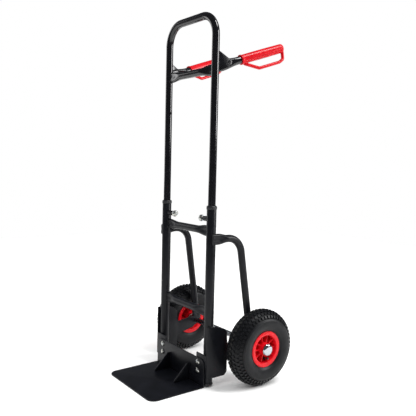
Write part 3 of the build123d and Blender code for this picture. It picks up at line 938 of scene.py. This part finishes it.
def toe_ribs():
    """Corner ribs between the toe plate's leaves."""
    back = FLANGE_Y - 2 * PLATE_THICK
    foot = PLATE_THICK - 0.5
    outline = [
        (back + 0.5, foot), (back + 0.5, TOE_RIB_REACH), (back - 10, TOE_RIB_REACH),
        (back - TOE_RIB_REACH, PLATE_THICK + 6), (back - TOE_RIB_REACH, foot),
    ]
    right = plate(outline, TOE_RIB_X, PLATE_THICK)
    made = new_object("toe_plate_corner_ribs", merged(right, mirrored(right)), SATIN)
    bevel(0.7)(made)
    finished(made, "frame", "black_enamel", "toe_plate_ribs")


def rows_of(name, shape, node):
    """Bolts or nuts at the toe plate's four holes, from one at the lower left hole."""
    made = new_object(name, shape, ZINC)
    lift = TOE_BOLTS_Z[1] - TOE_BOLTS_Z[0]
    grow(made, ROW, Count=2, Step=(2 * TOE_BOLT_X * MM, 0, 0), Material=ZINC)
    grow(made, ROW, Count=2, Step=(0, 0, lift * MM), Material=ZINC)
    finished(made, "frame", "zinc_steel", node)


def toe_fasteners():
    """Round-head bolts and hexagon nuts of the toe plate."""
    face = FLANGE_Y - 2 * PLATE_THICK
    centre = Vector((-TOE_BOLT_X, 0, TOE_BOLTS_Z[0]))
    end = FLANGE_Y + 10
    bolt = [
        (face - 4.5, 0), (end, 0), (end, BOLT_R - 0.6), (end - 0.8, BOLT_R), (face, BOLT_R),
        (face, BOLT_HEAD_R), (face - 1.0, BOLT_HEAD_R - 0.2), (face - 2.6, 7.4), (face - 3.9, 4.6),
    ]
    rows_of("toe_plate_bolt_set", turned(bolt, centre, "Y", 40), "toe_plate_bolts")
    hexagon = circle(NUT_R, 6)
    bore = circle(BOLT_R, 6)
    rings = []
    for y, section in ((0, bore), (0, hexagon), (NUT_THICK, hexagon), (NUT_THICK, bore)):
        rings.append([centre + Vector((u, FLANGE_Y + y, v)) for u, v in section])
    rows_of("toe_plate_nut_set", skin(rings, closed=True), "toe_plate_nuts")


# Index plungers -------------------------------------------------------------------------
def plungers():
    """Barrels on the lower uprights, and the pins in them with their pull knobs."""
    line = Vector((0, 0, LOCK_Z))
    root = UPRIGHT_X - OUTER_R + 0.8
    shoulder = UPRIGHT_X - OUTER_R - 3.6
    cup = HOUSING_END + 2.5
    barrel = [
        (HOUSING_END, PIN_STEM_R + FIT), (HOUSING_END, HOUSING_R), (root, HOUSING_R),
        (root, PIN_R + FIT), (shoulder, PIN_R + FIT),
        (shoulder, SPRING_BORE_R), (cup, SPRING_BORE_R), (cup, PIN_STEM_R + FIT),
    ]
    shape = turned(outline2(barrel, [0.3, 1.2, 0, 0, 0, 0, 0, 0]), line, "X", 64)
    pair("plunger_barrel", shape, SATIN, "frame", "black_enamel", ["lock_housing_*"])
    flange = PIN_TIP - 14.0
    knob = HOUSING_END - PIN_TRAVEL - 1.0
    back = knob - KNOB_LENGTH
    pin = [
        (back, 0), (PIN_TIP, 0), (PIN_TIP, PIN_R - 1), (PIN_TIP - 1, PIN_R), (flange, PIN_R),
        (flange, PIN_FLANGE_R), (flange - 2, PIN_FLANGE_R), (flange - 2, PIN_STEM_R),
        (knob, PIN_STEM_R), (knob, KNOB_R - 1.5), (knob - 4, KNOB_R), (knob - 10, KNOB_R),
        (back, KNOB_R - 3.5),
    ]
    radii = [0, 0, 0, 0, 0, 0.4, 0.4, 0, 0, 1.0, 1.5, 2.5, 2.0]
    shape = turned(outline2(pin, radii), line, "X", 64)
    pair("plunger_pin", shape, ZINC, "lock_*", "zinc_steel", ["lock_pin_*"])


# Sliding frame ----------------------------------------------------------------------------
def upper_frame():
    """U of bent tube, with the plunger holes for both heights."""
    corners = [
        Vector((-UPRIGHT_X, 0, INNER_BOTTOM)), Vector((-UPRIGHT_X, 0, TOP_BAR_Z)),
        Vector((UPRIGHT_X, 0, TOP_BAR_Z)), Vector((UPRIGHT_X, 0, INNER_BOTTOM)),
    ]
    path = divided(rounded(corners, TOP_BEND_R, steps=28), 12.0)
    outer = swept(path, Vector((0, 1, 0)), lambda i: circle(INNER_R))
    made = new_object("sliding_tube_frame", outer, GLOSS)
    cutters = []
    face = UPRIGHT_X - INNER_R
    for z in (LOCK_Z, LOCK_Z + RETRACT):
        hole = skin([
            [Vector((x, u, z + v)) for u, v in circle(LOCK_HOLE_R)]
            for x in (face - 1.5, face + LOCK_HOLE_DEPTH)
        ])
        cutters += [hole, mirrored(hole)]
    cutter = new_object("plunger_holes", merged(*cutters), GLOSS)
    cut = made.modifiers.new("plunger_holes", "BOOLEAN")
    cut.operation = "DIFFERENCE"
    cut.solver = "EXACT"
    cut.object = cutter
    finished(made, "upper", "black_enamel", "upper_frame")
    bpy.data.objects.remove(cutter)


def upper_crossbar():
    """Cross tube of the sliding frame with its welds."""
    made = new_object("sliding_crossbar", crossbar_shape(CROSSBAR_Z, INNER_R), GLOSS)
    finished(made, "upper", "black_enamel", "upper_crossbar")
    weld("sliding_crossbar_welds", both_sides([weld_loop(INNER_R, CROSSBAR_Z)]), "upper")


def slide_bushes():
    """Nylon plugs in the feet of the sliding tubes."""
    low = INNER_BOTTOM - BUSH_HEAD
    top = INNER_BOTTOM + BUSH_PLUG
    points = [
        (low, BUSH_BORE_R), (low, BUSH_R), (INNER_BOTTOM, BUSH_R),
        (INNER_BOTTOM, INNER_R - WALL), (top, INNER_R - WALL), (top, BUSH_BORE_R),
    ]
    shape = turned(outline2(points, [0.3, 0.8, 0.4, 0, 0.4, 0.3]), at_upright(), "Z")
    pair("slide_bushing", shape, NYLON, "upper", "black_plastic", ["slide_bush_*"])


# Handles: the right-hand one ----------------------------------------------------------------
ALONG = Vector((
    math.sin(HANDLE_SPLAY) * math.cos(HANDLE_TILT),
    math.cos(HANDLE_SPLAY) * math.cos(HANDLE_TILT),
    math.sin(HANDLE_TILT),
))
OUTWARDS = Vector((math.cos(HANDLE_SPLAY), -math.sin(HANDLE_SPLAY), 0))
DOWN = ALONG.cross(OUTWARDS)
HANDLE_ROOT = Vector((UPRIGHT_X, 0, HANDLE_Z))


def on_handle(along, outwards=0.0, down=0.0):
    """Point given by its distance along the handle, out from it and below it."""
    return HANDLE_ROOT + ALONG * along + OUTWARDS * outwards + DOWN * down


def handle_tubes():
    """Tubes behind the uprights, crushed and flared at the front."""
    path = divided([on_handle(11.5), on_handle(GRIP_END - 16)], 3.0)

    def outline(i):
        gone = (path[i] - HANDLE_ROOT).length
        return crushed(smooth((HANDLE_ROUND_AT - gone) / HANDLE_EASE))

    shape = swept(path, OUTWARDS, outline)
    pair("handle_stem", shape, GLOSS, "upper", "black_enamel", ["handle_tube_*"])
    loop = []
    for u, v in crushed(1.0):
        start = on_handle(0, u, -v)
        reach = math.sqrt(INNER_R ** 2 - (start.x - UPRIGHT_X) ** 2) / ALONG.y
        loop.append(start + ALONG * (reach - start.y / ALONG.y))
    weld("handle_stem_welds", both_sides([loop]), "upper")


def gussets():
    """Triangular plates on the outer sides of the crushed ends, each with a domed rivet."""
    points = [(8, 1042), (40, 1056), (57, 1070), (57, 1080), (51, 1084), (18, 1102), (8, 1107)]
    path = rounded([Vector((y, z, 0)) for y, z in points], [0, 6, 4, 3, 3, 6, 0], True, 4)
    turn = Matrix.Translation((UPRIGHT_X, 0, 0)) @ Matrix.Rotation(-HANDLE_SPLAY, 4, "Z")
    shape = moved(plate([(p.x, p.y) for p in path], GUSSET_X - 1, GUSSET_THICK + 1), turn)
    pair("handle_gusset", shape, GLOSS, "upper", "black_enamel", ["gusset_*"], bevel(0.6))
    face = GUSSET_X + GUSSET_THICK
    rivet = [
        (1.0, 0), (face + 3.2, 0), (face + 3.0, 2.2), (face + 2.2, 4.0), (face + 0.9, 5.2),
        (face, 5.5), (face - 0.2, 5.5), (face - 0.2, 3.0), (1.0, 3.0),
    ]
    right = moved(turned(rivet, Vector((0, RIVET_Y, RIVET_Z)), "X", 40), turn)
    made = new_object("gusset_domed_rivets", merged(right, mirrored(right)), GLOSS)
    finished(made, "upper", "black_enamel", "gusset_rivets")


def grip_body():
    """Grip with a front collar, slightly fuller in the palm, and a rounded end."""
    stations = [
        (GRIP_START, INNER_R + 0.1), (GRIP_START, GRIP_COLLAR_R - 0.6),
        (GRIP_START + 0.6, GRIP_COLLAR_R), (GRIP_START + 4.6, GRIP_COLLAR_R),
        (GRIP_START + 5.4, GRIP_R + 0.8), (GRIP_START + 6.4, GRIP_R + 0.2), (GRIP_START + 12, GRIP_R),
    ]
    palm = GRIP_END - GRIP_START - 24
    for i in range(1, 12):
        t = i / 12
        stations.append((GRIP_START + 12 + t * palm, GRIP_R + GRIP_SWELL * math.sin(math.pi * t)))
    for i in range(9):
        t = i / 8 * math.pi / 2
        along = GRIP_END - GRIP_NOSE + GRIP_NOSE * math.sin(t)
        stations.append((along, GRIP_R - GRIP_NOSE + GRIP_NOSE * math.cos(t)))
    stations.append((GRIP_END, 0))
    stations.append((GRIP_START, 0))
    rings = []
    for t in angles(ROUND_STEPS):
        rings.append([on_handle(a, r * math.cos(t), r * math.sin(t)) for a, r in stations])
    return skin(rings, closed=True)


def guard_shape():
    """Knuckle guard: a bent rod from behind the collar to the grip's end, a little flattened."""
    corners = []
    for along, below in GUARD_LINE:
        corners.append(on_handle(along, below * math.sin(GUARD_LEAN), below * math.cos(GUARD_LEAN)))
    path = divided(rounded(corners, GUARD_BENDS, steps=8), 2.0)
    across = OUTWARDS * math.cos(GUARD_LEAN) - DOWN * math.sin(GUARD_LEAN)
    section = [(u * 1.1, v) for u, v in circle(GUARD_R, 32)]
    return swept(path, across, lambda i: section)


def melt(voxel, passes):
    """Returns a function that fuses a piece's shells into one moulding and softens the joins."""
    def modify(made):
        fuse = made.modifiers.new("one_moulding", "REMESH")
        fuse.mode = "VOXEL"
        fuse.voxel_size = voxel * MM
        ease = made.modifiers.new("soft_joins", "SMOOTH")
        ease.factor = 0.5
        ease.iterations = passes
    return modify


def grips():
    """Red grips, each one moulding with its knuckle guard."""
    shape = merged(grip_body(), guard_shape())
    pair("moulded_grip", shape, VINYL, "upper", "red_plastic", ["handle_grip_*"], melt(0.9, 3))


# Wheels -----------------------------------------------------------------------------------------
SIDES = ((1, "right"), (-1, "left"))


def casing_radius(turn):
    """Section radius at an angle from the crown: low under the tread, with two mould rings on the wall."""
    away = math.degrees(abs(turn))
    radius = TYRE_HALF_WIDTH - 0.7 - TREAD_DEPTH * (1 - smooth((away - SHOULDER) / 6))
    for middle, width, height in WALL_RINGS:
        radius += height * math.exp(-((away - middle) / width) ** 2)
    return radius


def tyre_outline():
    """Closed outline of the casing, open towards the rim."""
    last = math.acos((BEAD_R - TYRE_CENTRE_R) / (TYRE_HALF_WIDTH - 0.9))
    steps = 120
    outer = []
    for i in range(steps + 1):
        t = -last + 2 * last * i / steps
        r = casing_radius(t)
        outer.append((r * math.sin(t), TYRE_CENTRE_R + r * math.cos(t)))
    inner_r = TYRE_HALF_WIDTH - TYRE_WALL
    last = math.acos((BEAD_R + 0.5 - TYRE_CENTRE_R) / inner_r)
    inner = []
    for i in range(41):
        t = last - 2 * last * i / 40
        inner.append((inner_r * math.sin(t), TYRE_CENTRE_R + inner_r * math.cos(t)))
    return outer + inner


def lug(along, across, height, taper, lean):
    """Tread block at the top of the wheel, its foot sunk in the casing, its top edges drawn in.

    Along is round the tyre, across is over it and lean turns it about its own middle."""
    rings = []
    for level, share in ((-2.0, 1.0), (height - 0.5, 1.0 - taper), (height, 1.0 - taper - 0.06)):
        ring = []
        for u, v in ((-1, -1), (1, -1), (1, 1), (-1, 1)):
            x = across / 2 * u * share
            y = along / 2 * v * share
            x, y = x * math.cos(lean) - y * math.sin(lean), x * math.sin(lean) + y * math.cos(lean)
            ring.append(Vector((x, y, level)))
        rings.append(ring)
    return skin(rings)


def lug_row(turn, *size):
    """Tread block placed at an angle from the crown, drawn about the wheel's centre."""
    base = casing_radius(turn)
    block = lug(*size)
    tilt = Matrix.Translation((0, 0, TYRE_CENTRE_R)) @ Matrix.Rotation(turn, 4, "Y")
    return moved(block, tilt @ Matrix.Translation((0, 0, base)))


def tread(side):
    """Rows of tread blocks round a wheel, one object for each row."""
    rise = TREAD_DEPTH + 0.6
    # Degrees from the crown, phase in pitches, and the block's along, across, height, taper and lean
    rows = [
        (0.0, 0.0, (11.0, 8.5, rise, 0.14, math.radians(45))),
        (19.0, 0.5, (11.0, 8.5, rise, 0.14, math.radians(35))),
        (-19.0, 0.5, (11.0, 8.5, rise, 0.14, math.radians(-35))),
        (38.0, 0.0, (10.0, 10.0, rise, 0.14, math.radians(-20))),
        (-38.0, 0.0, (10.0, 10.0, rise, 0.14, math.radians(20))),
        (56.0, 0.5, (8.5, 11.0, rise, 0.16, 0.0)),
        (-56.0, 0.5, (8.5, 11.0, rise, 0.16, 0.0)),
    ]
    made = []
    for number, (degrees, phase, size) in enumerate(rows):
        row = new_object(f"tread_row_{number}", lug_row(math.radians(degrees), *size), RUBBER)
        centre = at_wheel(side) * MM
        grow(row, RING, Count=TREAD_PITCHES, Phase=phase / TREAD_PITCHES, Centre=centre, Material=RUBBER)
        made.append(row)
    return made


def joined(name, pieces):
    """Objects with modifiers as one object with one plain mesh."""
    work = bmesh.new()
    graph = bpy.context.evaluated_depsgraph_get()
    for piece in pieces:
        mesh = bpy.data.meshes.new_from_object(piece.evaluated_get(graph))
        work.from_mesh(mesh)
        bpy.data.meshes.remove(mesh)
    finish = pieces[0].data.materials[0]
    for piece in pieces:
        bpy.data.objects.remove(piece)
    mesh = bpy.data.meshes.new(name)
    work.to_mesh(mesh)
    work.free()
    mesh.materials.clear()
    mesh.materials.append(finish)
    tidy_mesh(mesh)
    made = bpy.data.objects.new(name, mesh)
    bpy.context.scene.collection.objects.link(made)
    return made


def tyres():
    """Tyre casings with their tread."""
    for side, name in SIDES:
        casing = new_object(f"casing_{name}", turned(tyre_outline(), at_wheel(side), "X", 160), RUBBER)
        made = joined(f"tread_tyre_{name}", [casing] + tread(side))
        finished(made, f"wheel_{name}", "tyre_rubber", f"tyre_{name}")


def rim_outline():
    """Closed outline of the rim: lips, well, web and hub."""
    lip_top = []
    channel = TYRE_HALF_WIDTH + 0.05
    start = math.acos((RIM_R - TYRE_CENTRE_R) / channel)
    stop = math.acos((BEAD_R - TYRE_CENTRE_R) / channel)
    for i in range(9):
        t = start + (stop - start) * i / 8
        lip_top.append((channel * math.sin(t), TYRE_CENTRE_R + channel * math.cos(t)))
    half = RIM_HALF_WIDTH
    right = [
        (half, RIM_R - 0.7), (half, DRUM_R + 1.6), (half - 0.5, DRUM_R + 0.6), (half - 1.6, DRUM_R),
        (WEB_HALF + 2.5, DRUM_R - 1.2), (WEB_HALF + 0.7, DRUM_R - 1.9), (WEB_HALF, DRUM_R - 3.8),
        (WEB_HALF, HUB_R + 2.4), (WEB_HALF + 0.7, HUB_R + 0.9), (WEB_HALF + 2.4, HUB_R + 0.2),
        (HUB_HALF_WIDTH - 1.0, HUB_R - 0.2), (HUB_HALF_WIDTH - 0.2, HUB_R - 0.6),
        (HUB_HALF_WIDTH, HUB_R - 1.4), (HUB_HALF_WIDTH, BEARING_R),
    ]
    top = [(half - 0.3, RIM_R - 0.1)] + lip_top
    one_side = list(reversed(top)) + right
    return one_side + [(-a, r) for a, r in reversed(one_side)]


def rim_rib():
    """Rib between hub and drum, drawn about the wheel's centre, with drafted faces."""
    rings = []
    low = HUB_R - 1.0
    high = DRUM_R + 1.0
    sections = ((-RIB_HALF, RIB_EDGE), (-WEB_HALF, RIB_ROOT), (WEB_HALF, RIB_ROOT), (RIB_HALF, RIB_EDGE))
    for x, thick in sections:
        rings.append([
            Vector((x, -thick / 2, low)), Vector((x, thick / 2, low)),
            Vector((x, thick / 2, high)), Vector((x, -thick / 2, high)),
        ])
    return skin(rings)


def rims():
    """Moulded rims with their ribs."""
    for side, name in SIDES:
        drum = new_object(f"drum_{name}", turned(rim_outline(), at_wheel(side), "X", 160), POLYPROPYLENE)
        ribs = new_object(f"ribs_{name}", rim_rib(), POLYPROPYLENE)
        bevel(0.7, 2)(ribs)
        centre = at_wheel(side) * MM
        grow(ribs, RING, Count=RIBS, Phase=0.5 / RIBS, Centre=centre, Material=POLYPROPYLENE)
        made = joined(f"ribbed_rim_{name}", [drum, ribs])
        finished(made, f"wheel_{name}", "red_plastic", f"rim_{name}")


def valves():
    """Valve stems with moulded caps, bent out towards the wheel's face."""
    neck = [
        (-VALVE_ROOT_R, 0), (-VALVE_BEND_R, 0), (-VALVE_BEND_R, 4.2),
        (-VALVE_BEND_R - 3, 4.4), (-VALVE_ROOT_R, 4.6),
    ]
    riser = turned(neck, Vector(), "Z", 32)
    bend = Vector((0, 0, -VALVE_BEND_R))
    ball = [(-4.3, 0)]
    for i in range(1, 12):
        t = math.pi * i / 12
        ball.append((-4.3 * math.cos(t), 4.3 * math.sin(t)))
    ball.append((4.3, 0))
    elbow = turned(ball, bend, "X", 32)
    stem = turned(disc_outline(0, 14, 3.6, 0.3), bend, "X", 32)
    cap_points = [(11, 0), (19, 0), (19, 4.0), (11, 4.4)]
    cap = turned(outline2(cap_points, [0, 0, 1.0, 0.5]), bend, "X", 32)
    place = Matrix.Translation((WHEEL_X + VALVE_X, AXLE_Y, WHEEL_R)) @ Matrix.Rotation(VALVE_TURN, 4, "X")
    shape = moved(merged(riser, elbow, stem, cap), place)
    pair("tube_valve", shape, NYLON, "wheel_*", "black_plastic", ["valve_*"])


def hub_bearings():
    """Nylon sleeve bearings in the hubs."""
    for side, name in SIDES:
        rings = []
        for end in (1, -1):
            near = end * (HUB_HALF_WIDTH - BEARING_LENGTH)
            far = end * HUB_HALF_WIDTH
            sleeve = disc_outline(near, far, BEARING_R, 0.4, AXLE_R + FIT)
            rings.append(turned(sleeve, at_wheel(side), "X", 64))
        made = new_object(f"hub_sleeves_{name}", merged(*rings), BEARING)
        finished(made, f"wheel_{name}", "bearing_nylon", f"hub_bearings_{name}")


def painted_nodes():
    """CAD parts that keep their own shape: springs in their barrels and tubes inside the tyres."""
    for side in ("left", "right"):
        for node, finish in ((f"lock_spring_{side}", SPRING), (f"inner_tube_{side}", BUTYL)):
            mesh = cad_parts[node].data
            mesh.materials.clear()
            mesh.materials.append(finish)


# Stage, light and camera ------------------------------------------------------------------------
def floor():
    """Pale seamless floor."""
    reach = 3500
    points = [Vector((x * reach, y * reach, -0.2)) for x, y in ((-1, -1), (1, -1), (1, 1), (-1, 1))]
    made, tree, shader, place = material("pale_matt_floor", "#f6f6f5", 0.9)
    cloud = noise(tree, place, 400.0, 2.0)
    tree.links.new(mixed(tree, ranged(tree, cloud, 0, 1), "#f4f4f3", "#f8f8f7"), shader.inputs["Base Color"])
    stage = new_object("studio_floor", (points, [[0, 1, 2, 3]]), made)


def softbox(name, place, aim, width, height, power):
    """Rectangular studio light."""
    light = bpy.data.lights.new(name, "AREA")
    light.shape = "RECTANGLE"
    light.size = width
    light.size_y = height
    light.energy = power
    made = bpy.data.objects.new(name, light)
    made.location = place
    made.rotation_euler = (Vector(aim) - Vector(place)).to_track_quat("-Z", "Y").to_euler()
    bpy.context.scene.collection.objects.link(made)


def surround():
    """White studio wall behind everything, which casts only a little light of its own."""
    world = bpy.data.worlds.new("studio_surround")
    world.use_nodes = True
    tree = world.node_tree
    wall = tree.nodes["Background"]
    wall.inputs["Color"].default_value = colour("#ffffff")
    dim = add(tree, "ShaderNodeBackground", {"Color": colour("#e9ecf4"), "Strength": 0.14})
    seen = add(tree, "ShaderNodeLightPath").outputs["Is Camera Ray"]
    blend = add(tree, "ShaderNodeMixShader", {0: seen, 1: dim.outputs[0], 2: wall.outputs[0]})
    tree.links.new(blend.outputs[0], tree.nodes["World Output"].inputs["Surface"])
    bpy.context.scene.world = world


def lights():
    """Broad overhead light, and tall softboxes that draw bright strips down the tubes."""
    sky = bpy.data.lights.new("overhead_light", "SUN")
    sky.energy = 3.3
    sky.angle = math.radians(120)
    made = bpy.data.objects.new("overhead_light", sky)
    made.rotation_euler = (math.radians(12), math.radians(-8), 0)
    made.visible_glossy = False
    bpy.context.scene.collection.objects.link(made)
    softbox("right_strip", (1.86, 2.14, 1.75), (0, 0, 1.45), 1.0, 1.6, 70)
    softbox("top_strip", (1.3, 0.87, 3.3), (0.136, 0.17, 1.11), 0.5, 1.2, 40)
    softbox("left_strip", (-2.9, -0.8, 1.45), (0, 0, 1.3), 1.7, 1.8, 20)


def camera():
    """Camera from the right and the load side, with the horizon nearly level."""
    yaw = math.radians(52.719)
    pitch = math.radians(4.631)
    roll = math.radians(1.423)
    place = Vector((1538.4, -1068.2, 748.5))
    frame_width = 416
    focal = 539.654  # in the units of frame_width
    look = Vector((-math.sin(yaw) * math.cos(pitch), math.cos(yaw) * math.cos(pitch), -math.sin(pitch)))
    level = Vector((math.cos(yaw), math.sin(yaw), 0))
    rise = level.cross(look)
    right = level * math.cos(roll) + rise * math.sin(roll)
    up = rise * math.cos(roll) - level * math.sin(roll)
    made = bpy.data.cameras.new("studio_camera")
    made.sensor_width = 36
    made.lens = focal / frame_width * made.sensor_width
    made.shift_x = -3.638 / frame_width
    made.shift_y = -1.525 / frame_width
    holder = bpy.data.objects.new("studio_camera", made)
    turn = Matrix((right, up, -look)).transposed().to_4x4()
    holder.matrix_world = Matrix.Translation(place * MM) @ turn
    bpy.context.scene.collection.objects.link(holder)
    bpy.context.scene.camera = holder


camera()
outer_tubes()
guide_collars()
foot_plugs()
lower_crossbars()
braces()
axle_plates()
axle_parts()
toe_plate()
toe_ribs()
toe_fasteners()
plungers()
upper_frame()
upper_crossbar()
slide_bushes()
handle_tubes()
gussets()
grips()
tyres()
rims()
valves()
hub_bearings()
painted_nodes()
floor()
surround()
lights()
bpy.context.scene.view_settings.view_transform = "Standard"
